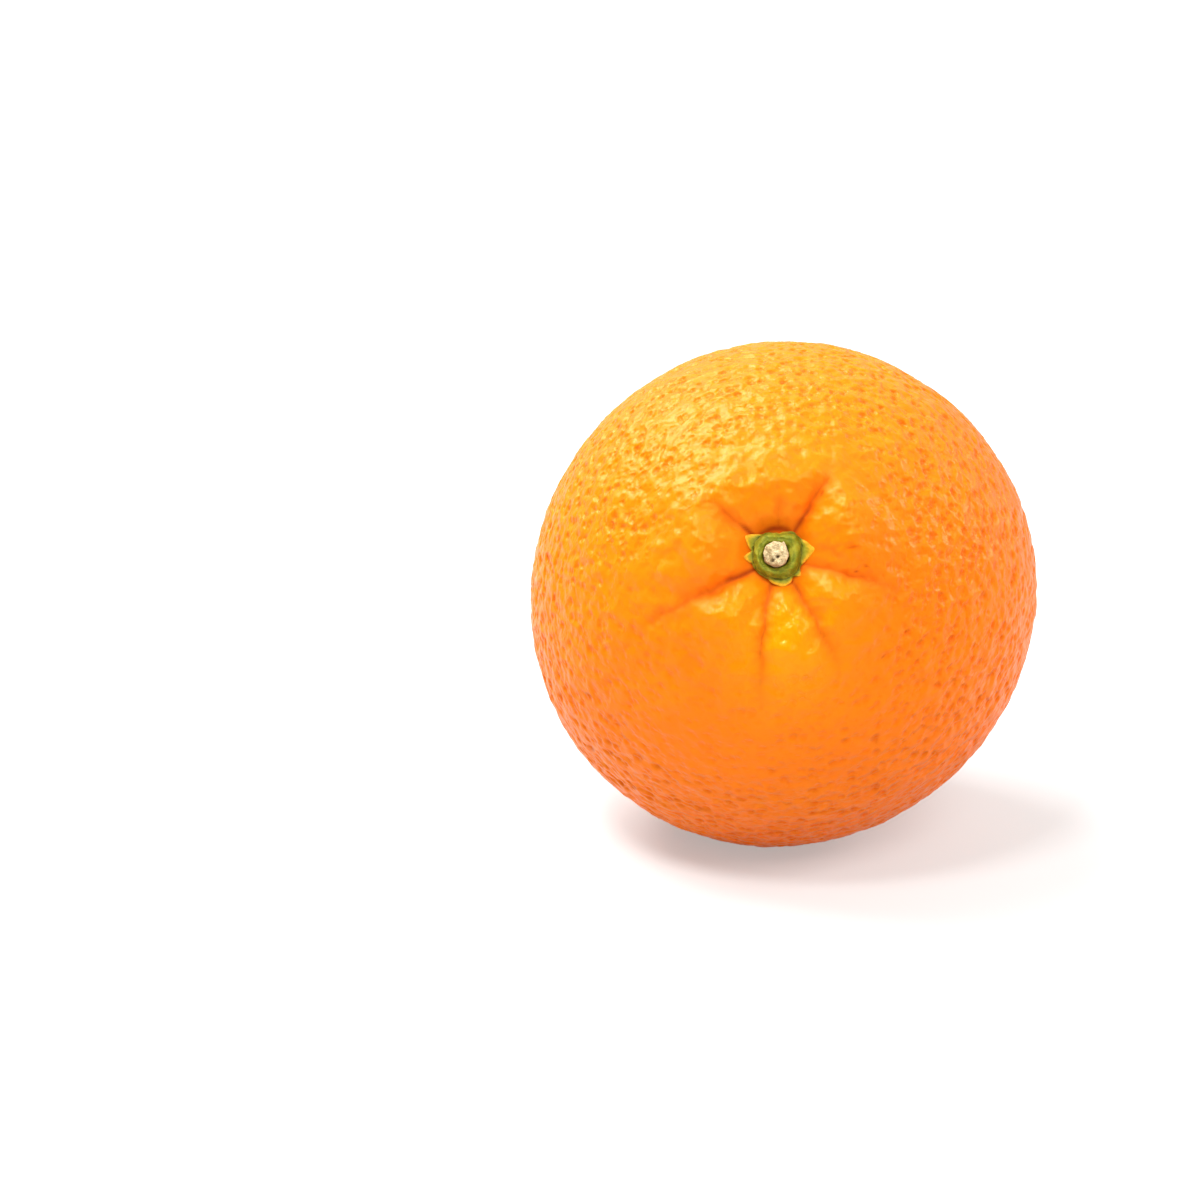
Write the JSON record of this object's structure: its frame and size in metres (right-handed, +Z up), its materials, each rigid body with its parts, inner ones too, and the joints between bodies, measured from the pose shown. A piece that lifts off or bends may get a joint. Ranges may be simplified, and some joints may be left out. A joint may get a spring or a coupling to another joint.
{
  "type": "whole orange",
  "caption": "Whole sweet orange lying on its side, with pitted peel, furrows round the stem end, a green calyx with pointed sepals and a cut stalk end.",
  "frame": {"origin": "middle of the small flat spot that the fruit rests on", "axes": "+Z up from the surface that the fruit rests on; the stem end faces -Y and is raised 28 degrees above level"},
  "size_m": [0.0759, 0.0737, 0.0748],
  "materials": {
    "peel": "satin",
    "calyx": "satin",
    "stalk": "matte"
  },
  "bodies": {
    "root": {"fruit": "peel", "calyx": "calyx", "stalk_end": "stalk"}
  },
  "joints": []
}
